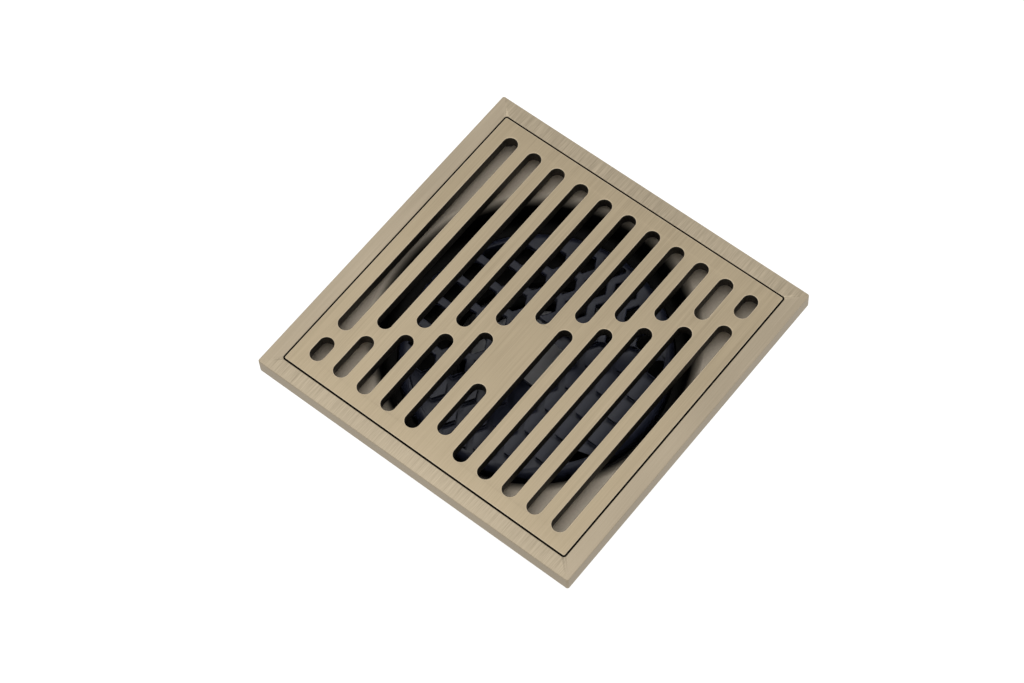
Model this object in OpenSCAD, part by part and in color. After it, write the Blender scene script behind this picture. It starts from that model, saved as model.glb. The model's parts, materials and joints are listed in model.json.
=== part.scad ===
// Square floor drain with a slotted grate, a honeycomb hair strainer and a lift-out odour trap.
// Millimetres, +Z up. The origin is the centre of the outlet's lower end, on its axis.
// +Y runs along the grate's slots and +X across them.

/* [Rim and pan] */
// Outer side of the square rim
rim_w = 100; // [96:1:160]
// Height of the rim's outer wall
rim_h = 5; // [4:0.5:8]
// Width of the rim's flat top band
rim_band = 4.45; // [3:0.05:6]
// Corner radius of the rim, in plan
rim_corner_r = 0.6; // [0.2:0.1:2]
// Whole height, from the rim's top to the outlet's lower end
total_h = 60; // [54:1:90]
// Depth of the pan floor below the rim's top
pan_depth = 5.5; // [4.5:0.25:8]
// Wall between the recess and the outside of the pan
pan_wall = 2.2; // [1.5:0.1:3]
// Thickness of the pan floor and of the bowl
wall = 2.5; // [1.5:0.1:4]

/* [Bowl] */
// Flat floor left between the recess wall and the bowl wall
bowl_margin = 5.55; // [4.5:0.05:8]
// Radius of the rounded mouth where the pan floor turns down into the bowl
bowl_mouth_r = 3.5; // [1.5:0.25:4]
// Radius in the corner at the foot of the bowl wall
bowl_foot_r = 3; // [1:0.25:3.5]
// Width of the annular seat under the strainer's ring
seat_w = 4; // [2:0.25:5]
// Fall of the funnel from the seat to the trap's mouth
funnel_fall = 1.6; // [0.8:0.1:3]

/* [Grate] */
// Gap all round between the grate and the rim
grate_gap = 0.3; // [0.15:0.05:0.8]
// Thickness of the grate
grate_t = 3.3; // [1.5:0.1:4]
// Corner radius of the grate, in plan
grate_corner_r = 0.5; // [0.2:0.1:2]
// Width of a slot
slot_w = 4; // [2:0.05:5]
// Distance between the centres of two neighbouring slots
slot_pitch = 7.82; // [6:0.01:10]
// Metal left between a slot's end and the grate's edge
slot_margin = 4.15; // [3:0.05:8]
// Least metal left between the outermost slots and the grate's edge
side_margin = 3; // [2.5:0.1:8]
// Metal left across the slots by the slanting bridge, measured along a slot
bridge_w = 3.8; // [2:0.1:8]
// Slant of the bridge away from the X axis, in degrees
bridge_angle = 39.2; // [0:0.1:40]
// Length of the plain field in the middle slot, from the grate's centre
plain_field = 20.7; // [10:0.1:24]
// How much earlier the short slot below the plain field ends
short_slot_inset = 3.5; // [0:0.1:6]
// Radius of a foot under the grate
foot_r = 1.8; // [1.2:0.1:2]
// Distance from a foot's centre to the grate's edges
foot_inset = 3; // [2.5:0.1:4]

/* [Strainer] */
// Gap between the strainer and the bowl wall
strainer_gap = 4.25; // [3.5:0.25:6]
// Depth of the strainer's top below the rim's top
strainer_drop = 12.4; // [11:0.1:18]
// Height of the strainer's outer ring
strainer_h = 5.2; // [4:0.1:7]
// Width of the strainer's outer ring
strainer_ring_w = 2.6; // [2.5:0.1:4]
// Radial clearance between the strainer and its pocket
strainer_clear = 0.35; // [0.3:0.05:0.8]
// Thickness of the honeycomb webs
web_t = 1.8; // [1:0.1:2.5]
// Width of a honeycomb cell, flat to flat
cell_w = 5.7; // [4:0.1:6.6]
// Distance between the centres of two neighbouring cells
cell_pitch = 8.05; // [7:0.05:10]
// Width of the grip bar between the two finger windows
grip_bar_w = 3.4; // [2:0.1:5]
// Height of the grip bar above the webs
grip_bar_h = 0.3; // [0.2:0.1:5]
// Length of a finger window, along the grip bar
window_l = 14; // [12:0.1:16]
// How far each finger window is moved along the grip bar, opposite ways
window_stagger = 1.1; // [0:0.1:2]
// Turn of the loose strainer in its pocket, in degrees
strainer_turn = -1.5; // [-10:0.5:10]

/* [Outlet] */
// Outside diameter of the outlet tube
spigot_d = 50; // [44:0.5:60]
// Wall of the outlet tube
spigot_wall = 1.8; // [1.2:0.1:3]
// Depth of the socket that the outlet tube is fixed in
socket_l = 6.5; // [4:0.5:8]
// Wall of the socket's neck
neck_wall = 2.5; // [1.5:0.1:4]
// Thickness of the pipe gasket
gasket_t = 2.5; // [1:0.1:4]
// Width of the pipe gasket, beyond the tube
gasket_w = 5; // [3:0.5:8]

/* [Trap core] */
// Depth of the core's top below the rim's top
core_drop = 19.5; // [19:0.1:22]
// Radial clearance between the core and the outlet tube
core_clear = 0.2; // [0.1:0.05:0.5]
// Wall of the core's housing
core_wall = 2.6; // [2.2:0.1:3.4]
// Length of outlet tube below the core
tail_l = 13; // [12.5:0.5:20]
// Width of the lip that the core rests on
lip_w = 1.7; // [1:0.1:2]
// Thickness of a sealing ring's section
o_ring_t = 1.5; // [1:0.1:1.8]
// Thickness of the spider's ring and arms
spider_t = 3; // [2:0.1:4]
// Width of a spider arm
arm_w = 2.4; // [1.5:0.1:4]

/* [Seal] */
// Depth of the cap's top below the rim's top
cap_drop = 25; // [25:0.25:30]
// Gap between the cap's rim and the core's housing
cap_gap = 1.3; // [1:0.1:3]
// Thickness of the cap's plate
cap_t = 2; // [1.5:0.1:3]
// Travel of the seal, from shut to fully open
seal_travel = 5; // [2:0.25:5]
// Radius of the stem
stem_r = 2; // [1.8:0.1:2.5]
// Radial clearance between the stem and its bush
stem_clear = 0.05; // [0.02:0.01:0.1]
// Outer radius of a ring magnet
magnet_r = 5; // [4.2:0.1:6]
// Thickness of a ring magnet
magnet_t = 3; // [1.5:0.1:3]
// Thickness of the seal plate
plate_t = 1.5; // [1:0.1:2]

/* [Hidden] */
$fn = 96;

// A cut runs this far past the face it opens
cut_over = 1;

// Rim, pan and bowl
recess_w = rim_w - 2 * rim_band;
z_pan = total_h - pan_depth;
// The pan stands in from the rim by at least this much, so that the rim keeps a flange
rim_flange = 1;
pan_outer_w = min(recess_w + 2 * pan_wall, rim_w - 2 * rim_flange);
bowl_r = recess_w / 2 - bowl_margin;
strainer_r = bowl_r - strainer_gap;
z_strainer = total_h - strainer_drop;
z_seat = z_strainer - strainer_h;
pocket_r = strainer_r + strainer_clear;
pocket_depth = 1.6;
z_shelf = z_seat + pocket_depth;
seat_in_r = pocket_r - seat_w;
z_funnel = z_seat - funnel_fall;
funnel_lead = 0.7;

// Outlet tube and its socket
spigot_r = spigot_d / 2;
bore_r = spigot_r - spigot_wall;
socket_clear = 0.05;
socket_land = 2.3;
z_socket_top = z_funnel - socket_land;
z_neck_end = z_socket_top - socket_l;
neck_r = spigot_r + neck_wall;
spigot_bevel = 1;
groove_depth = 0.5;
groove_h = 1.6;
groove_step = 3;

// Grate
grate_w = recess_w - 2 * grate_gap;
slot_end = grate_w / 2 - slot_margin;
lanes_each_side = floor((grate_w / 2 - side_margin - slot_w / 2) / slot_pitch);
foot_h = pan_depth - grate_t;
foot_step = 0.7;
foot_plug_r = foot_r - foot_step;
foot_plug_h = grate_t / 2;
foot_at = grate_w / 2 - foot_inset;

// Strainer
strainer_in_r = strainer_r - strainer_ring_w;
// Radius of the strainer's shoulder
strainer_edge_r = 2.4;
window_corner_r = 1.5;
// How far the plate runs into the ring, short of its rounded shoulder
plate_overlap = (strainer_ring_w - strainer_edge_r) / 2;
cell_col = cell_pitch * sqrt(3) / 2;
// A cell is cut where its centre lies at most this far outside the ring's inside
cell_overhang = 0.5;
cell_limit = strainer_in_r + cell_overhang;
cell_span = ceil(strainer_in_r / cell_col);
// The grip takes the place of the cells whose centres lie within this many pitches of the axis
grip_reach_cells = 1.1;
grip_reach = cell_pitch * grip_reach_cells;

// Core
core_r = bore_r - core_clear;
core_in_r = core_r - core_wall;
z_core = total_h - core_drop;
z_lip = tail_l;
lip_t = 2;
mouth_w = 2.9;
mouth_r = core_in_r - mouth_w;
mouth_t = 2;
core_rim_bevel = 0.5;
upper_ring_drop = 6;
lower_ring_rise = 11;
o_ring_gap = 0.1;
o_groove_clear = 0.05;
o_groove_play = 0.4;
o_ring_r = bore_r - o_ring_gap - o_ring_t / 2;
o_groove_r = o_ring_r - o_ring_t / 2 - o_groove_clear;
o_groove_h = o_ring_t + o_groove_play;
z_upper_o_ring = z_core - upper_ring_drop;
z_lower_o_ring = z_lip + lower_ring_rise;
z_spider = z_lip + mouth_t;
spider_clear = 0.1;
spider_r = core_in_r - spider_clear;
spider_ring_w = 1.7;
hub_wall = 1.5;
hub_r = magnet_r + hub_wall;
snap_t = 1.2;
snap_depth = 0.9;
snap_w = 2;
snap_gap_angle = 40;

// Seal
cap_r = core_in_r - cap_gap;
cap_edge_r = cap_t / 2;
z_cap = total_h - cap_drop;
boss_floor = 1;
boss_h = magnet_t + boss_floor;
z_boss = z_cap - cap_t - boss_h;
cover_t = 0.5;
magnet_clear = 0.6;
magnet_rest_gap = 0.8;
z_hub = z_boss - cover_t - seal_travel - magnet_rest_gap - cover_t;
hub_lift = 0.4;
z_hub_under = z_lip + hub_lift;
bush_wall = 1.4;
gasket_seal_t = 1.2;
gasket_overlap = 2.8;
gasket_seal_r = mouth_r + gasket_overlap;
gasket_boss_r = 9;
gasket_boss_h = 0.8;
plate_inset = 0.8;
z_plate = z_lip - gasket_seal_t;
thread_step = 0.5;
thread_r = stem_r - thread_step;
thread_clear = 0.05;
washer_t = 0.5;
washer_r = 3.5;
nut_t = 2.4;
nut_across_flats = 5.5;
stem_tail = 0.8;
z_washer = z_plate - plate_t;
z_nut = z_washer - washer_t;

brass_colour = [0.69, 0.63, 0.51];
strainer_colour = [0.17, 0.18, 0.24];
trap_colour = [0.13, 0.13, 0.12];
cap_colour = [0.62, 0.62, 0.62];
rubber_colour = [0.12, 0.12, 0.12];
steel_colour = [0.75, 0.76, 0.78];
magnet_colour = [0.55, 0.56, 0.58];
polymer_colour = [0.93, 0.93, 0.9];
silicone_colour = [0.82, 0.82, 0.8];

// ---- Shared shapes ----

// A rectangle outline with rounded corners, centred on the axis
module rounded_rectangle(width, length, corner_r) {
    inner_w = width - 2 * corner_r;
    inner_l = length - 2 * corner_r;
    square([width, inner_l], center = true);
    square([inner_w, length], center = true);
    for (sx = [-1, 1], sy = [-1, 1])
        translate([sx * inner_w / 2, sy * inner_l / 2])
            circle(r = corner_r);
}

module rounded_square(side, corner_r) {
    rounded_rectangle(side, side, corner_r);
}

// A slot outline with round ends, from y = low to y = high
module slot_outline(width, low, high) {
    translate([-width / 2, low + width / 2])
        square([width, high - low - width]);
    translate([0, low + width / 2])
        circle(d = width);
    translate([0, high - width / 2])
        circle(d = width);
}

// A straight tube standing on z = base
module tube(outer_r, inner_r, base, height) {
    translate([0, 0, base])
        difference() {
            cylinder(r = outer_r, h = height);
            translate([0, 0, -cut_over])
                cylinder(r = inner_r, h = height + 2 * cut_over);
        }
}

// ---- Rim, pan and bowl ----

// Half section of the space inside the bowl, from the trap's mouth up to the pan floor
module bowl_space_section() {
    // The wall, and the corner rounded at its foot
    translate([0, z_shelf + bowl_foot_r])
        square([bowl_r, z_pan + cut_over - z_shelf - bowl_foot_r]);
    translate([0, z_shelf])
        square([bowl_r - bowl_foot_r, bowl_foot_r + cut_over]);
    translate([bowl_r - bowl_foot_r, z_shelf + bowl_foot_r])
        circle(r = bowl_foot_r);
    // The rounded mouth
    difference() {
        translate([bowl_r - cut_over, z_pan - bowl_mouth_r])
            square([bowl_mouth_r + cut_over, bowl_mouth_r + cut_over]);
        translate([bowl_r + bowl_mouth_r, z_pan - bowl_mouth_r])
            circle(r = bowl_mouth_r);
    }
    // The strainer's pocket, the funnel and the bore
    translate([0, z_seat])
        square([pocket_r, pocket_depth + cut_over]);
    polygon([
        [0, z_seat + cut_over], [seat_in_r, z_seat + cut_over], [seat_in_r, z_seat],
        [bore_r + funnel_lead, z_funnel], [bore_r, z_funnel - funnel_lead],
        [bore_r, z_neck_end - cut_over], [0, z_neck_end - cut_over]
    ]);
    // The socket for the outlet tube
    translate([0, z_neck_end - cut_over])
        square([spigot_r + socket_clear, socket_l + cut_over]);
}

// Half section of the bowl's outside, with the neck below it
module bowl_outer_section() {
    outer_r = bowl_r + wall;
    outer_foot_r = bowl_foot_r + wall;
    z_under = z_seat - wall;
    translate([0, z_under + outer_foot_r])
        square([outer_r, z_pan - z_under - outer_foot_r]);
    translate([0, z_under])
        square([outer_r - outer_foot_r, outer_foot_r + cut_over]);
    translate([outer_r - outer_foot_r, z_under + outer_foot_r])
        circle(r = outer_foot_r);
    polygon([
        [0, z_under + cut_over], [neck_r + wall, z_under + cut_over], [neck_r + wall, z_under],
        [neck_r, z_under - funnel_fall - wall / 2], [neck_r, z_neck_end], [0, z_neck_end]
    ]);
}

module drain_body() {
    color(brass_colour)
        difference() {
            union() {
                translate([0, 0, total_h - rim_h])
                    linear_extrude(rim_h)
                        rounded_square(rim_w, rim_corner_r);
                translate([0, 0, z_pan - wall])
                    linear_extrude(pan_depth + wall - rim_h / 2)
                        rounded_square(pan_outer_w, 2 * rim_corner_r);
                rotate_extrude()
                    bowl_outer_section();
            }
            translate([0, 0, z_pan])
                linear_extrude(pan_depth + cut_over)
                    rounded_square(recess_w, grate_corner_r + grate_gap);
            rotate_extrude()
                bowl_space_section();
        }
}

// ---- Outlet ----

module outlet_spigot() {
    color(brass_colour)
        rotate_extrude()
            difference() {
                polygon([
                    [bore_r, 0], [spigot_r - spigot_bevel, 0], [spigot_r, spigot_bevel],
                    [spigot_r, z_socket_top], [bore_r, z_socket_top],
                    [bore_r, z_lip], [bore_r - lip_w, z_lip],
                    [bore_r - lip_w, z_lip - lip_t], [bore_r, z_lip - lip_t - lip_w]
                ]);
                for (turn = [0:1])
                    translate([
                        spigot_r - groove_depth,
                        z_neck_end - gasket_t - groove_step * (turn + 1)
                    ])
                        square([groove_depth + cut_over, groove_h]);
            }
}

module pipe_gasket() {
    color(rubber_colour)
        tube(spigot_r + gasket_w, spigot_r, z_neck_end - gasket_t, gasket_t);
}

// ---- Grate ----

// One lane of slots: x is its place, and the bridge crosses it at bridge_y
module slot_lane(x) {
    bridge_y = x * tan(bridge_angle);
    translate([x, 0]) {
        slot_outline(slot_w, bridge_y + bridge_w / 2, slot_end);
        if (x == 0)
            slot_outline(slot_w, short_slot_inset - slot_end, -plain_field);
        else
            slot_outline(slot_w, -slot_end, bridge_y - bridge_w / 2);
    }
}

// Runs its children at the four feet
module at_feet() {
    for (sx = [-1, 1], sy = [-1, 1])
        translate([sx * foot_at, sy * foot_at, z_pan])
            children();
}

module cover_grate() {
    color(brass_colour)
        difference() {
            translate([0, 0, total_h - grate_t])
                linear_extrude(grate_t)
                    difference() {
                        rounded_square(grate_w, grate_corner_r);
                        for (lane = [-lanes_each_side:lanes_each_side])
                            slot_lane(lane * slot_pitch);
                    }
            at_feet()
                cylinder(r = foot_plug_r, h = foot_h + foot_plug_h);
        }
}

module grate_feet() {
    color(rubber_colour)
        at_feet() {
            cylinder(r = foot_r, h = foot_h);
            cylinder(r = foot_plug_r, h = foot_h + foot_plug_h);
        }
}

// ---- Strainer ----

// True where a honeycomb cell is cut; the cells around the axis give way to the grip
function cell_kept(x, y) = norm([x, y]) < cell_limit && norm([x, y]) > grip_reach;

module honeycomb_cells() {
    for (col = [-cell_span:cell_span], row = [-cell_span:cell_span]) {
        x = col * cell_col;
        y = (row + (col % 2 == 0 ? 0 : 0.5)) * cell_pitch;
        if (cell_kept(x, y))
            translate([x, y])
                circle(d = cell_w / cos(30), $fn = 6);
    }
}

// The two finger windows, each widened by a pair of cells on its outer side
module finger_windows() {
    for (side = [-1, 1]) {
        translate([side * (grip_bar_w / 2 + cell_col) / 2, -side * window_stagger])
            rounded_rectangle(cell_col - grip_bar_w / 2, window_l, window_corner_r);
        for (row = [-1, 1])
            translate([side * cell_col, row * cell_pitch / 2])
                circle(d = cell_w / cos(30), $fn = 6);
    }
}

// The ring with its rounded shoulder
module strainer_ring() {
    rotate_extrude()
        difference() {
            translate([strainer_in_r, z_seat])
                square([strainer_ring_w, strainer_h]);
            difference() {
                translate([strainer_r - strainer_edge_r, z_strainer - strainer_edge_r])
                    square(strainer_edge_r + cut_over);
                translate([strainer_r - strainer_edge_r, z_strainer - strainer_edge_r])
                    circle(r = strainer_edge_r);
            }
        }
}

// The honeycomb plate level with the ring's top, and the grip bar on it
module strainer_plate() {
    translate([0, 0, z_strainer - web_t])
        linear_extrude(web_t)
            difference() {
                circle(r = strainer_in_r + plate_overlap);
                intersection() {
                    honeycomb_cells();
                    circle(r = strainer_in_r);
                }
                finger_windows();
            }
    bar_end = window_l / 2 + window_stagger + grip_bar_w / 2;
    translate([0, 0, z_strainer - web_t])
        linear_extrude(web_t + grip_bar_h)
            slot_outline(grip_bar_w, -bar_end, bar_end);
}

module hair_strainer() {
    color(strainer_colour)
        rotate([0, 0, strainer_turn]) {
            strainer_ring();
            strainer_plate();
        }
}

// ---- Trap core ----

module core_housing() {
    color(trap_colour)
        rotate_extrude()
            difference() {
                polygon([
                    [mouth_r, z_lip], [core_r, z_lip], [core_r, z_core - core_rim_bevel],
                    [core_r - core_rim_bevel, z_core], [core_in_r + core_rim_bevel, z_core],
                    [core_in_r, z_core - core_rim_bevel], [core_in_r, z_spider], [mouth_r, z_spider]
                ]);
                for (z = [z_upper_o_ring, z_lower_o_ring])
                    translate([o_groove_r, z - o_groove_h / 2])
                        square([core_r - o_groove_r + cut_over, o_groove_h]);
                translate([core_in_r - cut_over, z_spider + spider_t])
                    square([snap_depth + cut_over, snap_t]);
            }
}

module o_ring(z) {
    color(rubber_colour)
        translate([0, 0, z])
            rotate_extrude()
                translate([o_ring_r, 0])
                    circle(d = o_ring_t, $fn = 32);
}

module upper_o_ring() {
    o_ring(z_upper_o_ring);
}

module lower_o_ring() {
    o_ring(z_lower_o_ring);
}

module guide_spider() {
    color(trap_colour)
        difference() {
            union() {
                tube(spider_r, spider_r - spider_ring_w, z_spider, spider_t);
                for (arm = [0:2])
                    rotate([0, 0, 120 * arm])
                        translate([0, -arm_w / 2, z_spider])
                            cube([spider_r - spider_ring_w / 2, arm_w, spider_t]);
                translate([0, 0, z_hub_under])
                    cylinder(r = hub_r, h = z_hub - z_hub_under);
            }
            translate([0, 0, z_hub_under - cut_over])
                cylinder(r = stem_r + stem_clear + bush_wall, h = z_hub - z_hub_under + 2 * cut_over);
            translate([0, 0, z_hub - magnet_t])
                cylinder(r = magnet_r, h = magnet_t + cut_over);
        }
}

module guide_bush() {
    inner_r = stem_r + stem_clear;
    color(polymer_colour)
        tube(inner_r + bush_wall, inner_r, z_hub_under, z_hub - magnet_t - z_hub_under);
}

module snap_ring() {
    outer_r = core_in_r + snap_depth - spider_clear;
    color(steel_colour)
        translate([0, 0, z_spider + spider_t])
            rotate_extrude(angle = 360 - snap_gap_angle)
                translate([outer_r - snap_w, 0])
                    square([snap_w, snap_t]);
}

module ring_magnet(z) {
    color(magnet_colour)
        tube(magnet_r, stem_r + magnet_clear, z, magnet_t);
}

module fixed_magnet() {
    ring_magnet(z_hub - magnet_t);
}

module magnet_cover(z) {
    color(trap_colour)
        tube(hub_r, stem_r + magnet_clear, z, cover_t);
}

module fixed_magnet_cover() {
    magnet_cover(z_hub);
}

// ---- Seal ----

module seal_cap() {
    color(cap_colour)
        difference() {
            rotate_extrude() {
                translate([0, z_cap - cap_t])
                    square([cap_r - cap_edge_r, cap_t]);
                translate([cap_r - cap_edge_r, z_cap - cap_edge_r])
                    circle(r = cap_edge_r, $fn = 48);
                translate([0, z_boss])
                    square([hub_r, boss_h + cap_t / 2]);
            }
            translate([0, 0, z_boss - cut_over])
                cylinder(r = magnet_r, h = magnet_t + cut_over);
            translate([0, 0, z_boss])
                cylinder(r = stem_r, h = boss_h + cap_t / 2);
        }
}

module moving_magnet() {
    ring_magnet(z_boss);
}

module moving_magnet_cover() {
    magnet_cover(z_boss - cover_t);
}

module seal_stem() {
    z_shoulder = z_plate + gasket_boss_h;
    color(steel_colour) {
        translate([0, 0, z_shoulder])
            cylinder(r = stem_r, h = z_cap - cap_t / 2 - z_shoulder);
        translate([0, 0, z_nut - nut_t - stem_tail])
            cylinder(r = thread_r, h = z_shoulder - z_nut + nut_t + stem_tail);
    }
}

module seal_plate() {
    color(trap_colour)
        difference() {
            union() {
                translate([0, 0, z_plate - plate_t])
                    cylinder(r = gasket_seal_r - plate_inset, h = plate_t);
                translate([0, 0, z_plate])
                    cylinder(r = gasket_boss_r, h = gasket_boss_h);
            }
            translate([0, 0, z_plate - plate_t - cut_over])
                cylinder(r = thread_r + thread_clear, h = plate_t + gasket_boss_h + 2 * cut_over);
        }
}

module seal_gasket() {
    color(silicone_colour)
        tube(gasket_seal_r, gasket_boss_r, z_plate, gasket_seal_t);
}

module stem_washer() {
    color(steel_colour)
        tube(washer_r, thread_r + thread_clear, z_washer - washer_t, washer_t);
}

module stem_nut() {
    color(steel_colour)
        translate([0, 0, z_nut - nut_t])
            difference() {
                cylinder(d = nut_across_flats / cos(30), h = nut_t, $fn = 6);
                translate([0, 0, -cut_over])
                    cylinder(r = thread_r, h = nut_t + 2 * cut_over);
            }
}

drain_body();
outlet_spigot();
pipe_gasket();
cover_grate();
grate_feet();
hair_strainer();
core_housing();
upper_o_ring();
lower_o_ring();
guide_spider();
guide_bush();
snap_ring();
fixed_magnet();
fixed_magnet_cover();
seal_cap();
moving_magnet();
moving_magnet_cover();
seal_stem();
seal_plate();
seal_gasket();
stem_washer();
stem_nut();
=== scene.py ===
"""Looks of the square floor drain: brushed bronze, satin pan, dark honeycomb, soft studio light."""

import json
import math

import bmesh
import bpy
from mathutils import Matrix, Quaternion, Vector


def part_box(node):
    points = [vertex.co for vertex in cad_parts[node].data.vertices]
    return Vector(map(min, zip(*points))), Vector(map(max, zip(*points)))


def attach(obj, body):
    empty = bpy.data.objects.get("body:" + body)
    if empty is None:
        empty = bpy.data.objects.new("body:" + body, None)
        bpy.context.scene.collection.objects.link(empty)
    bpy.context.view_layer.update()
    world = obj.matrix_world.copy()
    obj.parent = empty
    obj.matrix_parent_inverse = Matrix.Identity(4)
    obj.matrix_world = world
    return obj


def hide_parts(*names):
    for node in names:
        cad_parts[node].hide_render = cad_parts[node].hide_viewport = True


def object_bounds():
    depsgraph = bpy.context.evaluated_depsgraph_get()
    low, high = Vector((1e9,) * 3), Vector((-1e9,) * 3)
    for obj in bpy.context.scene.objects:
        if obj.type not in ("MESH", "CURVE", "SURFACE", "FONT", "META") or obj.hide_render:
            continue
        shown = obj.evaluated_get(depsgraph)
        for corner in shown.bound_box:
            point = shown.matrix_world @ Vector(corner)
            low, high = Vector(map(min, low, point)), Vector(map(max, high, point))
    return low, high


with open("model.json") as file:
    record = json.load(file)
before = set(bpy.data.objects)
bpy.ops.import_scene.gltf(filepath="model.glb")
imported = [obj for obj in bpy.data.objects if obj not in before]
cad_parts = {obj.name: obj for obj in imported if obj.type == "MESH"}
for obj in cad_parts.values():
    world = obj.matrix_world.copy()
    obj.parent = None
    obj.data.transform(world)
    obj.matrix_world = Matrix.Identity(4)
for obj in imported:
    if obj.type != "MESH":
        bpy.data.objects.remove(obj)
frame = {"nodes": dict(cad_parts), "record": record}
cad_low, cad_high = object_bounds()

MM = 0.001
BODY_OF = {node: body for body, nodes in frame["record"]["behaviour"]["bodies"].items() for node in nodes}
SLOT_OF = {part["node"]: part["material_slot"] for part in frame["record"]["subparts"]}

# The rim's top and the axis are what the camera, the lights and the masks are placed from
TOP_Z = cad_high.z
RIM_HALF = cad_high.x
AXIS = Vector(((cad_low.x + cad_high.x) / 2, (cad_low.y + cad_high.y) / 2, 0))
PAN_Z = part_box("grate_feet")[0].z
SOCKET_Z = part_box("outlet_spigot")[1].z
STRAINER_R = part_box("hair_strainer")[1].x

# The pan's satin colour gives way to the bowl's painted shade between these radii, where its floor turns
# down into the bowl
BOWL_SHADE_FULL_R = STRAINER_R + 4.6 * MM
BOWL_SHADE_END_R = STRAINER_R + 7.6 * MM

# A face counts as the rim's side this near to its outside, and as its front this near to its top
SIDE_DEPTH = 0.5 * MM
FACE_DEPTH = 0.3 * MM
# Faces count as the recess's wall from this far above the pan's floor
WALL_FOOT = 0.6 * MM

# Sharp edges are found by this angle, and curved walls stay smooth below it
SHARP_ANGLE = math.radians(32)
WELD_DISTANCE = 0.002 * MM

# A face is level above this z of its normal, and a wall is upright below this one
LEVEL = 0.9999
UPRIGHT = 0.02
LEVEL_STEP = 0.02 * MM
# Below this z of its normal, an edge's rounding takes the painted shade of the wall under it
STEEP = 0.8
# A rounding takes at most this share of its wall's height, and a corner's miter is at most 1 / this
WALL_SHARE = 0.42
SHARPEST_MITER = 0.5

# Radius of the softened edges of the pieces that show, above and below
CASTING_EDGES = (0.22 * MM, 0.3 * MM)
GRATE_EDGES = (0.26 * MM, 0.15 * MM)
STRAINER_EDGES = (0.35 * MM, 0.3 * MM)

# Radius of the softened edges of the turned and moulded pieces inside
EDGE_WIDTHS = {
    "outlet_spigot": 0.25 * MM,
    "pipe_gasket": 0.4 * MM,
    "grate_feet": 0.3 * MM,
    "core_housing": 0.2 * MM,
    "guide_spider": 0.3 * MM,
    "snap_ring": 0.15 * MM,
    "seal_cap": 0.3 * MM,
    "seal_stem": 0.3 * MM,
    "seal_plate": 0.3 * MM,
    "seal_gasket": 0.3 * MM,
    "stem_nut": 0.3 * MM,
}


# ---- Materials ----

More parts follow.
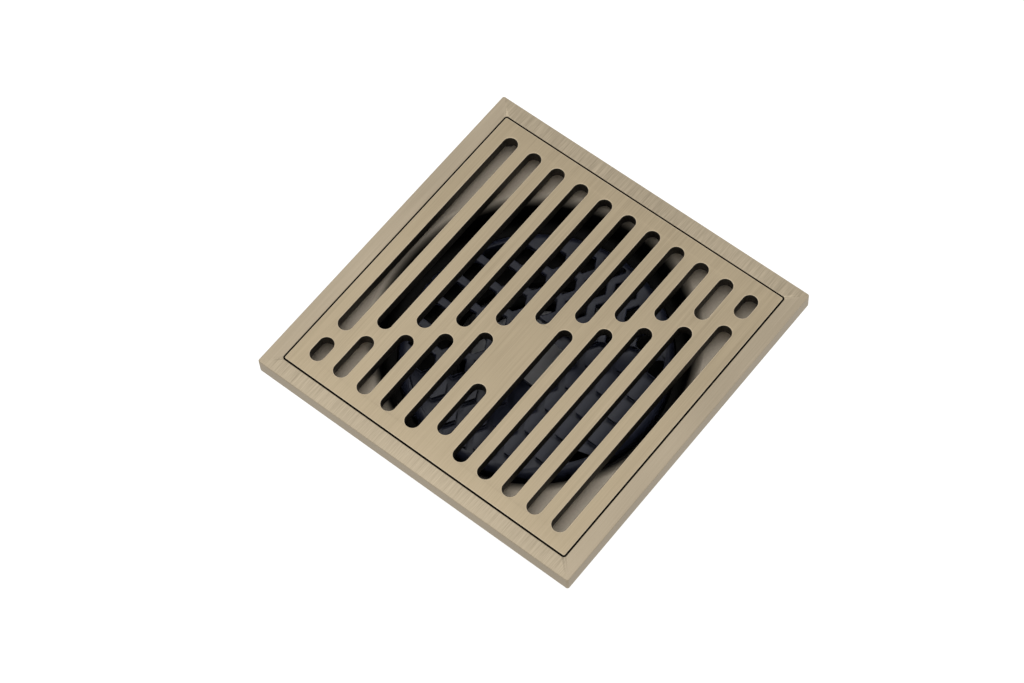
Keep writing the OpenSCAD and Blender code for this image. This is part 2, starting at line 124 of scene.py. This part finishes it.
class Finish:
    """A node material under construction, on one Principled shader, in the piece's own coordinates."""

    def __init__(self, name, metallic=0.0, roughness=0.5):
        self.material = bpy.data.materials.new(name)
        self.material.use_nodes = True
        self.tree = self.material.node_tree
        self.shader = self.tree.nodes["Principled BSDF"]
        self.shader.inputs["Metallic"].default_value = metallic
        self.shader.inputs["Roughness"].default_value = roughness
        self.coords = self.node("ShaderNodeTexCoord")

    def node(self, kind, **settings):
        made = self.tree.nodes.new(kind)
        for key, value in settings.items():
            setattr(made, key, value)
        return made

    def link(self, source, target):
        self.tree.links.new(source, target)

    def feed(self, target, value):
        """Sets a socket to a number, or links it to another node's output."""
        if isinstance(value, bpy.types.NodeSocket):
            self.link(value, target)
        else:
            target.default_value = value

    def noise(self, per_metre, detail=2.0, rough=0.5, offset=(0, 0, 0)):
        """Noise whose grain repeats about per_metre times in a metre along each axis."""
        mapping = self.node("ShaderNodeMapping")
        mapping.inputs["Scale"].default_value = per_metre
        mapping.inputs["Location"].default_value = offset
        self.link(self.coords.outputs["Object"], mapping.inputs["Vector"])
        noise = self.node("ShaderNodeTexNoise")
        noise.inputs["Scale"].default_value = 1.0
        noise.inputs["Detail"].default_value = detail
        noise.inputs["Roughness"].default_value = rough
        self.link(mapping.outputs["Vector"], noise.inputs["Vector"])
        return noise.outputs["Fac"]

    def math(self, operation, a, b=0.0):
        made = self.node("ShaderNodeMath", operation=operation)
        self.feed(made.inputs[0], a)
        self.feed(made.inputs[1], b)
        return made.outputs["Value"]

    def remap(self, value, low, high, from_low=0.25, from_high=0.75):
        made = self.node("ShaderNodeMapRange")
        self.feed(made.inputs["Value"], value)
        self.feed(made.inputs["From Min"], from_low)
        self.feed(made.inputs["From Max"], from_high)
        self.feed(made.inputs["To Min"], low)
        self.feed(made.inputs["To Max"], high)
        return made.outputs["Result"]

    def blend(self, share, a, b):
        """A number between a and b."""
        made = self.node("ShaderNodeMix", data_type="FLOAT")
        self.feed(made.inputs[0], share)
        self.feed(made.inputs[2], a)
        self.feed(made.inputs[3], b)
        return made.outputs[0]

    def tint(self, share, a, b):
        """A colour between a and b."""
        made = self.node("ShaderNodeMix", data_type="RGBA")
        self.feed(made.inputs[0], share)
        self.feed(made.inputs[6], a if isinstance(a, bpy.types.NodeSocket) else (*a, 1))
        self.feed(made.inputs[7], b if isinstance(b, bpy.types.NodeSocket) else (*b, 1))
        return made.outputs[2]

    def radius(self):
        """Distance from the outlet's axis."""
        parts = self.node("ShaderNodeSeparateXYZ")
        self.link(self.coords.outputs["Object"], parts.inputs["Vector"])
        across = self.math("POWER", parts.outputs["X"], 2.0)
        along = self.math("POWER", parts.outputs["Y"], 2.0)
        return self.math("SQRT", self.math("ADD", across, along))

    def facing(self, axis):
        """1 where the surface faces along that axis, either way, else 0."""
        parts = self.node("ShaderNodeSeparateXYZ")
        self.link(self.coords.outputs["Normal"], parts.inputs["Vector"])
        return self.math("GREATER_THAN", self.math("ABSOLUTE", parts.outputs[axis]), 0.7)

    def bump(self, height, distance, strength=1.0, under=None):
        made = self.node("ShaderNodeBump")
        made.inputs["Strength"].default_value = strength
        made.inputs["Distance"].default_value = distance
        self.link(height, made.inputs["Height"])
        if under is not None:
            self.link(under, made.inputs["Normal"])
        return made.outputs["Normal"]

    def colour(self, value):
        self.link(value, self.shader.inputs["Base Color"])

    def roughness(self, value):
        self.link(value, self.shader.inputs["Roughness"])

    def normal(self, value):
        self.link(value, self.shader.inputs["Normal"])

    def anisotropy(self, amount, along):
        """Highlights stretch in the direction along, which lies across the brushing."""
        self.shader.inputs["Anisotropic"].default_value = amount
        self.link(along, self.shader.inputs["Tangent"])

    def direction(self, x, y, z):
        made = self.node("ShaderNodeCombineXYZ")
        for socket, value in zip(made.inputs, (x, y, z)):
            self.feed(socket, value)
        return made.outputs["Vector"]


BRONZE_LIGHT = (0.460, 0.377, 0.256)
BRONZE_DARK = (0.345, 0.280, 0.187)
RIM_LIGHT = (0.462, 0.389, 0.284)
RIM_DARK = (0.345, 0.287, 0.206)
# Partly edge polish, partly a painted highlight for the grate's upper edge roundings
EDGE_POLISH_HIGHLIGHT = (0.60, 0.51, 0.37)
ENDS_LIGHT = (0.505, 0.425, 0.308)
ENDS_DARK = (0.281, 0.234, 0.166)
# Painted shade: the rim's sides are a darker copy of the rim's bronze
SIDE_SHADE_LIGHT = (0.340, 0.284, 0.204)
SIDE_SHADE_DARK = (0.270, 0.224, 0.158)
# Painted shade: near-black colour for the walls of the slots and of the gap round the grate
WALL_SHADE_LIGHT = (0.050, 0.043, 0.032)
WALL_SHADE_DARK = (0.022, 0.019, 0.014)
SATIN_LIGHT = (0.66, 0.58, 0.47)
SATIN_DARK = (0.50, 0.435, 0.345)
# Painted shade: near black for the bowl below the pan's mouth, where shade falls
BOWL_SHADE_LIGHT = (0.006, 0.005, 0.004)
BOWL_SHADE_DARK = (0.002, 0.002, 0.001)
CAST_LIGHT = (0.40, 0.325, 0.205)
CAST_DARK = (0.30, 0.235, 0.135)
BRASS_LIGHT = (0.56, 0.44, 0.24)
BRASS_DARK = (0.44, 0.335, 0.165)
NAVY_LIGHT = (0.037, 0.042, 0.071)
NAVY_DARK = (0.023, 0.027, 0.047)
BLACK_LIGHT = (0.016, 0.016, 0.015)
BLACK_DARK = (0.009, 0.009, 0.009)
GREY_LIGHT = (0.47, 0.47, 0.48)
GREY_DARK = (0.41, 0.41, 0.42)
WHITE_LIGHT = (0.80, 0.80, 0.76)
WHITE_DARK = (0.72, 0.72, 0.68)
RUBBER_LIGHT = (0.020, 0.020, 0.021)
RUBBER_DARK = (0.011, 0.011, 0.012)
SILICONE_LIGHT = (0.62, 0.62, 0.60)
SILICONE_DARK = (0.54, 0.54, 0.52)
STEEL_LIGHT = (0.66, 0.66, 0.67)
STEEL_DARK = (0.52, 0.52, 0.54)
MAGNET_LIGHT = (0.60, 0.60, 0.61)
MAGNET_DARK = (0.50, 0.50, 0.52)
FLOOR_LIGHT = (0.21, 0.21, 0.21)
FLOOR_DARK = (0.19, 0.19, 0.19)


def streaks(finish, grain, length, detail=2.0):
    """Brushing: grain lines a metre across the strokes, and strokes 1 / length metres long.
    Strokes run along Y, but along X on walls that face Y."""
    along_y = finish.noise((grain, length, grain), detail)
    along_x = finish.noise((length, grain, grain), detail)
    return finish.blend(finish.facing("Y"), along_y, along_x)


def brushed_bronze(name, light, dark, cloudy=0.25, roughness=(0.30, 0.42), stroke_rate=55):
    """Satin brushed bronze under thin lacquer, stroked along the slots."""
    finish = Finish(name, metallic=1.0)
    fine = streaks(finish, 4200, stroke_rate)
    broad = streaks(finish, 900, stroke_rate / 4, 3.0)
    cloud = finish.noise((24, 24, 24), 2.0)
    stroke = finish.blend(0.4, fine, broad)
    shade = finish.remap(finish.blend(cloudy, stroke, cloud), 0, 1, 0.33, 0.67)
    finish.colour(finish.tint(shade, dark, light))
    finish.roughness(finish.remap(stroke, *roughness))
    finish.normal(finish.bump(fine, 0.005 * MM, 0.5, finish.bump(broad, 0.008 * MM, 0.4)))
    up = finish.facing("Z")
    finish.anisotropy(0.65, finish.direction(up, 0.0, finish.math("SUBTRACT", 1.0, up)))
    return finish.material


def worn_and_highlit_edge(name):
    """Upper roundings of the grate's edges: polished a little by handling, and made brighter still by a
    painted highlight.
    """
    finish = Finish(name, metallic=1.0)
    polish_and_highlight = finish.noise((420, 420, 420), 3.0)
    finish.colour(finish.tint(finish.remap(polish_and_highlight, 0, 1), BRONZE_LIGHT, EDGE_POLISH_HIGHLIGHT))
    finish.roughness(finish.remap(polish_and_highlight, 0.24, 0.36))
    return finish.material


def shaded_wall(name):
    """Sides of the slots and of the gap round the grate: painted near black as shade, and left rough by
    the cutting.
    """
    finish = Finish(name, metallic=0.8)
    drag = finish.noise((2600, 2600, 420), 3.0)
    shade_blotch = finish.noise((160, 160, 160), 3.0)
    finish.colour(finish.tint(finish.remap(finish.blend(0.5, drag, shade_blotch), 0, 1), WALL_SHADE_DARK, WALL_SHADE_LIGHT))
    finish.roughness(finish.remap(drag, 0.42, 0.62))
    finish.normal(finish.bump(drag, 0.02 * MM, 0.5))
    return finish.material


def satin_pan(name):
    """Inside of the pan: a soft satin, giving way to painted near-black shade in the bowl below its mouth.
    """
    finish = Finish(name, metallic=0.35)
    grain = finish.noise((2400, 1500, 2400), 2.0)
    ripple = finish.noise((260, 260, 260), 3.0)
    cloud = finish.noise((45, 45, 45), 3.0)
    # Painted shade: the bowl goes near black towards the axis, fading out across the pan's mouth
    bowl_shade_share = finish.remap(finish.radius(), 1, 0, BOWL_SHADE_FULL_R, BOWL_SHADE_END_R)
    finish.shader.inputs["Specular IOR Level"].default_value = 0.2
    patches = finish.remap(finish.blend(0.45, cloud, grain), 0, 1)
    pan = finish.tint(patches, SATIN_DARK, SATIN_LIGHT)
    bowl = finish.tint(patches, BOWL_SHADE_DARK, BOWL_SHADE_LIGHT)
    finish.colour(finish.tint(bowl_shade_share, pan, bowl))
    finish.roughness(finish.remap(finish.blend(0.5, ripple, cloud), 0.44, 0.56))
    finish.normal(finish.bump(grain, 0.006 * MM, 0.3, finish.bump(ripple, 0.02 * MM, 0.25)))
    return finish.material


def cast_outside(name):
    """Blasted casting skin under the rim, with a fine orange-peel grain."""
    finish = Finish(name, metallic=1.0)
    grain = finish.noise((2600, 2600, 2600), 4.0, 0.6)
    peel = finish.noise((520, 520, 520), 3.0)
    cloud = finish.noise((60, 60, 60), 4.0)
    finish.colour(finish.tint(finish.remap(cloud, 0, 1), CAST_DARK, CAST_LIGHT))
    finish.roughness(finish.remap(finish.blend(0.6, grain, cloud), 0.42, 0.62))
    finish.normal(finish.bump(grain, 0.03 * MM, 0.5, finish.bump(peel, 0.08 * MM, 0.4)))
    return finish.material


def turned_brass(name):
    """Lathe-turned brass: fine rings round the axis."""
    finish = Finish(name, metallic=1.0)
    rings = finish.noise((30, 30, 6500), 2.0)
    tone = finish.noise((40, 40, 500), 3.0)
    finish.colour(finish.tint(finish.remap(finish.blend(0.5, rings, tone), 0, 1), BRASS_DARK, BRASS_LIGHT))
    finish.roughness(finish.remap(tone, 0.24, 0.38))
    finish.normal(finish.bump(rings, 0.008 * MM, 0.5))
    finish.anisotropy(0.6, finish.direction(0.0, 0.0, 1.0))
    return finish.material


def moulded_plastic(name, light, dark, roughness=(0.30, 0.42), grain_depth=0.012):
    """Moulded plastic with a fine spark-eroded grain and slight flow marks."""
    finish = Finish(name)
    grain = finish.noise((3800, 3800, 3800), 3.0, 0.6)
    flow = finish.noise((190, 190, 60), 3.0)
    finish.colour(finish.tint(finish.remap(flow, 0, 1), dark, light))
    finish.roughness(finish.remap(finish.blend(0.5, grain, flow), *roughness))
    finish.normal(finish.bump(grain, grain_depth * MM, 0.4, finish.bump(flow, 0.06 * MM, 0.3)))
    return finish.material


def moulded_rubber(name, light, dark):
    """Matt rubber with a dusty bloom."""
    finish = Finish(name)
    grain = finish.noise((3000, 3000, 3000), 3.0, 0.65)
    bloom = finish.noise((240, 240, 240), 4.0)
    finish.colour(finish.tint(finish.remap(bloom, 0, 1), dark, light))
    finish.roughness(finish.remap(bloom, 0.62, 0.82))
    finish.normal(finish.bump(grain, 0.02 * MM, 0.5))
    return finish.material


def turned_steel(name, light, dark):
    """Bright turned steel."""
    finish = Finish(name, metallic=1.0)
    rings = finish.noise((60, 60, 5200), 2.0)
    tone = finish.noise((300, 300, 300), 3.0)
    finish.colour(finish.tint(finish.remap(tone, 0, 1), dark, light))
    finish.roughness(finish.remap(finish.blend(0.5, rings, tone), 0.18, 0.34))
    finish.normal(finish.bump(rings, 0.006 * MM, 0.4))
    return finish.material


def make_materials():
    return {
        "brushed_bronze": brushed_bronze("brushed_bronze", BRONZE_LIGHT, BRONZE_DARK),
        "brushed_rim": brushed_bronze("brushed_rim", RIM_LIGHT, RIM_DARK, 0.4),
        "brushed_side_shade": brushed_bronze("brushed_side_shade", SIDE_SHADE_LIGHT, SIDE_SHADE_DARK, 0.4, (0.36, 0.48)),
        "brushed_ends": brushed_bronze("brushed_ends", ENDS_LIGHT, ENDS_DARK, 0.2, (0.26, 0.42), 160),
        "worn_and_highlit_edge": worn_and_highlit_edge("worn_and_highlit_edge"),
        "shaded_wall": shaded_wall("shaded_wall"),
        "satin_pan": satin_pan("satin_pan"),
        "cast_brass": cast_outside("cast_brass"),
        "turned_brass": turned_brass("turned_brass"),
        "navy_plastic": moulded_plastic("navy_plastic", NAVY_LIGHT, NAVY_DARK, (0.27, 0.40), 0.008),
        "black_plastic": moulded_plastic("black_plastic", BLACK_LIGHT, BLACK_DARK),
        "grey_plastic": moulded_plastic("grey_plastic", GREY_LIGHT, GREY_DARK, (0.26, 0.36), 0.006),
        "white_polymer": moulded_plastic("white_polymer", WHITE_LIGHT, WHITE_DARK),
        "rubber": moulded_rubber("rubber", RUBBER_LIGHT, RUBBER_DARK),
        "silicone": moulded_rubber("silicone", SILICONE_LIGHT, SILICONE_DARK),
        "steel": turned_steel("steel", STEEL_LIGHT, STEEL_DARK),
        "magnet": turned_steel("magnet", MAGNET_LIGHT, MAGNET_DARK),
    }


# ---- Softened edges ----

def flat_regions(work):
    """Groups the level faces by height and by the way they face."""
    regions = {}
    for face in work.faces:
        if abs(face.normal.z) > LEVEL:
            up = face.normal.z > 0
            height = round(face.verts[0].co.z / LEVEL_STEP)
            regions.setdefault((height, up), set()).add(face)
    return [(up, faces) for (height, up), faces in sorted(regions.items())]


def region_steps(faces):
    """Each outline vertex of the level faces, with its next one and the wall beyond that edge.
    Gives nothing where an outline touches itself, so such faces stay sharp."""
    steps = {}
    for face in faces:
        for corner in face.loops:
            beyond = [other for other in corner.edge.link_faces if other not in faces]
            if beyond and corner.vert in steps:
                return {}
            if beyond:
                steps[corner.vert] = (corner.link_loop_next.vert, beyond[0])
    return steps


def outlines(steps):
    """The closed loops of (vertex, wall after it) that the steps make up."""
    left = dict(steps)
    loops = []
    for first in sorted(steps, key=lambda vert: tuple(vert.co)):
        loop = []
        vert = first
        while vert in left:
            following, wall = left.pop(vert)
            loop.append((vert, wall))
            vert = following
        if loop:
            loops.append(loop)
    return loops


def wall_bend(wall, level, facing, width):
    """Width of the rounding where a level face meets this wall: below 0 in a hollow corner."""
    if abs(wall.normal.z) > UPRIGHT:
        return 0.0
    heights = [vert.co.z for vert in wall.verts]
    room = (max(heights) - min(heights)) * WALL_SHARE
    drops = (wall.calc_center_median().z - level) * facing < 0
    bend = min(width, room)
    return bend if drops else -bend


def inward(before, here, after, facing):
    """How a corner moves when both of its edges move 1 into the level face, in its plane."""
    up = Vector((0, 0, facing))
    first = up.cross((here - before).normalized())
    second = up.cross((after - here).normalized())
    middle = (first + second).normalized()
    return middle / max(middle.dot(first), SHARPEST_MITER)


def round_outline(work, loop, facing, width, segments, ring_faces):
    """Rounds one outline of a level face, and gives the edges that its new cap ends at."""
    level = loop[0][0].co.z
    count = len(loop)
    bends = [wall_bend(wall, level, facing, width) for vert, wall in loop]
    spots = [vert.co.copy() for vert, wall in loop]
    rings = [[vert for vert, wall in loop] for ring in range(segments + 1)]
    for i, (vert, wall) in enumerate(loop):
        bend = bends[i] if bends[i] * bends[i - 1] > 0 else 0.0
        bend = math.copysign(min(abs(bend), abs(bends[i - 1])), bend)
        if bend == 0:
            continue
        slide = inward(spots[i - 1], spots[i], spots[(i + 1) % count], facing)
        for ring in range(1, segments + 1):
            turn = math.pi / 2 * ring / segments
            across = slide * abs(bend) * (1 - math.cos(turn))
            down = Vector((0, 0, facing * bend * (1 - math.sin(turn))))
            rings[ring][i] = work.verts.new(spots[i] + across - down)
        vert.co.z -= facing * bend
    for lower, upper in zip(rings, rings[1:]):
        for i in range(count):
            j = (i + 1) % count
            corners = list(dict.fromkeys((lower[i], lower[j], upper[j], upper[i])))
            if len(corners) > 2:
                ring_faces.append(work.faces.new(corners))
    rim = rings[-1]
    ends = []
    for i in range(count):
        pair = (rim[i], rim[(i + 1) % count])
        ends.append(work.edges.get(pair) or work.edges.new(pair))
    return ends


def soften_edges(work, top_width, under_width, segments):
    """Rounds every edge where a level face meets an upright wall. Gives the new faces."""
    ring_faces = []
    for up, faces in flat_regions(work):
        facing = 1 if up else -1
        loops = outlines(region_steps(faces))
        if not loops:
            continue
        bmesh.ops.delete(work, geom=list(faces), context="FACES_ONLY")
        ends = []
        for loop in loops:
            width = top_width if up else under_width
            ends += round_outline(work, loop, facing, width, segments, ring_faces)
        bmesh.ops.triangle_fill(work, use_beauty=True, edges=ends, normal=(0, 0, facing))
    return ring_faces


# ---- Pieces ----

def mark_shading(work):
    """Smooth shading, broken along the sharp edges."""
    for edge in work.edges:
        edge.smooth = len(edge.link_faces) == 2 and edge.calc_face_angle(0) < SHARP_ANGLE
    for face in work.faces:
        face.smooth = True


def refined(node, name, finishes, top_width, under_width, segments=3, paint=None):
    """A finished copy of a CAD node, with its edges softened. paint chooses each face's finish."""
    work = bmesh.new()
    work.from_mesh(frame["nodes"][node].data)
    bmesh.ops.remove_doubles(work, verts=work.verts, dist=WELD_DISTANCE)
    bmesh.ops.dissolve_degenerate(work, edges=work.edges, dist=WELD_DISTANCE)
    rounded = soften_edges(work, top_width, under_width, segments)
    loose = [edge for edge in work.edges if not edge.link_faces]
    bmesh.ops.delete(work, geom=loose, context="EDGES")
    bmesh.ops.recalc_face_normals(work, faces=work.faces)
    work.normal_update()
    on_edge = {face for face in rounded if face.is_valid}
    if paint:
        for face in work.faces:
            face.material_index = paint(face, face in on_edge)
    mark_shading(work)
    mesh = bpy.data.meshes.new(name)
    work.to_mesh(mesh)
    work.free()
    for finish in finishes:
        mesh.materials.append(finish)
    piece = bpy.data.objects.new(name, mesh)
    bpy.context.scene.collection.objects.link(piece)
    even = piece.modifiers.new("even_shading", "WEIGHTED_NORMAL")
    even.keep_sharp = True
    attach(piece, BODY_OF[node])
    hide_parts(node)
    return piece


def paint_casting(face, rounded):
    """0 brushed rim, 1 satin pan with painted shade in the bowl, 2 blasted outside, 3 recess wall in
    painted shade,
    4 the rim's sides in painted shade, 5 the bands across the slots' ends, stroked the short way."""
    centre = face.calc_center_median()
    outward = Vector((centre.x - AXIS.x, centre.y - AXIS.y, 0)).normalized()
    inner = face.normal.z > 0.05 or face.normal.dot(outward) < -0.05
    on_side = max(abs(centre.x), abs(centre.y)) > RIM_HALF - SIDE_DEPTH
    if on_side and face.normal.z < 0.5:
        # The rim's sides get painted shade
        return 4
    if on_side or centre.z > TOP_Z - FACE_DEPTH:
        return 5 if abs(centre.y) > abs(centre.x) else 0
    if not inner or centre.z < SOCKET_Z:
        return 2
    return 3 if centre.z > PAN_Z + WALL_FOOT else 1


def paint_grate(face, rounded):
    """0 brushed face, 1 worn edge with a painted highlight, 2 wall in painted shade, which takes the steep
    part of an edge too.
    """
    if rounded and face.normal.z > STEEP:
        return 1
    # Walls and the steep part of their roundings get the painted shade
    return 0 if abs(face.normal.z) > STEEP else 2


def make_seen_pieces(finishes):
    """The pieces that the light reaches: the casting, the grate and the strainer."""
    def chosen(*names):
        return [finishes[name] for name in names]

    refined(
        "drain_body", "rim_and_bowl",
        chosen("brushed_rim", "satin_pan", "cast_brass", "shaded_wall", "brushed_side_shade", "brushed_ends"),
        *CASTING_EDGES, paint=paint_casting,
    )
    refined(
        "cover_grate", "slotted_grate", chosen("brushed_bronze", "worn_and_highlit_edge", "shaded_wall"),
        *GRATE_EDGES, paint=paint_grate,
    )
    refined("hair_strainer", "honeycomb_strainer", chosen("navy_plastic"), *STRAINER_EDGES)


def make_plain_pieces(finishes):
    """The turned and moulded pieces inside, each with its own edge radius."""
    for node, width in EDGE_WIDTHS.items():
        refined(node, "finished_" + node, [finishes[SLOT_OF[node]]], width, width, 2)


def finish_cad_nodes(finishes):
    """Gives the small CAD nodes that still show their material."""
    for name, node in frame["nodes"].items():
        if node.hide_render:
            continue
        node.data.materials.clear()
        node.data.materials.append(finishes[SLOT_OF[name]])


# ---- Camera, light and floor ----

# Each softbox: its place from the axis and the floor, its side in metres, its power in watts
KEY_LIGHT = ((-0.26, 0.16, 1.02), 0.36, 0.48)
FILL_LIGHT = ((0.8, -0.5, 0.6), 0.8, 0.25)
SKY_STRENGTH = 0.97

# The floor glows enough to read as white paper, and lies just below the drain
FLOOR_GLOW = 0.90
FLOOR_HALF = 3.0
FLOOR_GAP = 0.05 * MM


def make_camera():
    """A long lens above one corner of the rim, rolled a little."""
    azimuth = math.radians(43.18)
    elevation = math.radians(61.66)
    roll = math.radians(-5.17)
    distance = 748.06 * MM
    target = AXIS + Vector((-2.0 * MM, -6.5 * MM, TOP_Z))
    back = Vector((
        math.sin(azimuth) * math.cos(elevation),
        -math.cos(azimuth) * math.cos(elevation),
        math.sin(elevation),
    ))
    data = bpy.data.cameras.new("camera")
    data.sensor_width = 36.0
    data.lens = 103.72
    data.clip_start = 0.05
    data.clip_end = 20.0
    camera = bpy.data.objects.new("camera", data)
    camera.location = target + back * distance
    camera.rotation_mode = "QUATERNION"
    camera.rotation_quaternion = (-back).to_track_quat("-Z", "Y") @ Quaternion((0, 0, 1), roll)
    bpy.context.scene.collection.objects.link(camera)
    bpy.context.scene.camera = camera


def make_area_light(name, place, size, power):
    """A square white softbox that looks at the rim's centre."""
    data = bpy.data.lights.new(name, "AREA")
    data.shape = "SQUARE"
    data.size = size
    data.energy = power
    light = bpy.data.objects.new(name, data)
    light.location = AXIS + Vector(place)
    aim = AXIS + Vector((0, 0, TOP_Z)) - light.location
    light.rotation_mode = "QUATERNION"
    light.rotation_quaternion = aim.to_track_quat("-Z", "Y")
    bpy.context.scene.collection.objects.link(light)


def make_world():
    world = bpy.data.worlds.new("studio")
    world.use_nodes = True
    background = world.node_tree.nodes["Background"]
    background.inputs["Color"].default_value = (1, 1, 1, 1)
    background.inputs["Strength"].default_value = SKY_STRENGTH
    bpy.context.scene.world = world


def make_floor():
    finish = Finish("pale_floor", roughness=0.7)
    speckle = finish.noise((900, 900, 900), 3.0)
    finish.colour(finish.tint(finish.remap(speckle, 0, 1), FLOOR_DARK, FLOOR_LIGHT))
    finish.shader.inputs["Emission Color"].default_value = (1, 1, 1, 1)
    finish.shader.inputs["Emission Strength"].default_value = FLOOR_GLOW
    half = FLOOR_HALF
    mesh = bpy.data.meshes.new("floor")
    corners = [(-half, -half, 0), (half, -half, 0), (half, half, 0), (-half, half, 0)]
    mesh.from_pydata(corners, [], [(0, 1, 2, 3)])
    mesh.materials.append(finish.material)
    floor = bpy.data.objects.new("floor", mesh)
    floor.location = (AXIS.x, AXIS.y, cad_low.z - FLOOR_GAP)
    bpy.context.scene.collection.objects.link(floor)


def make_studio():
    make_world()
    make_floor()
    make_area_light("key", *KEY_LIGHT)
    make_area_light("fill", *FILL_LIGHT)
    bpy.context.scene.view_settings.view_transform = "Standard"


make_camera()
make_studio()
all_finishes = make_materials()
make_seen_pieces(all_finishes)
make_plain_pieces(all_finishes)
finish_cad_nodes(all_finishes)
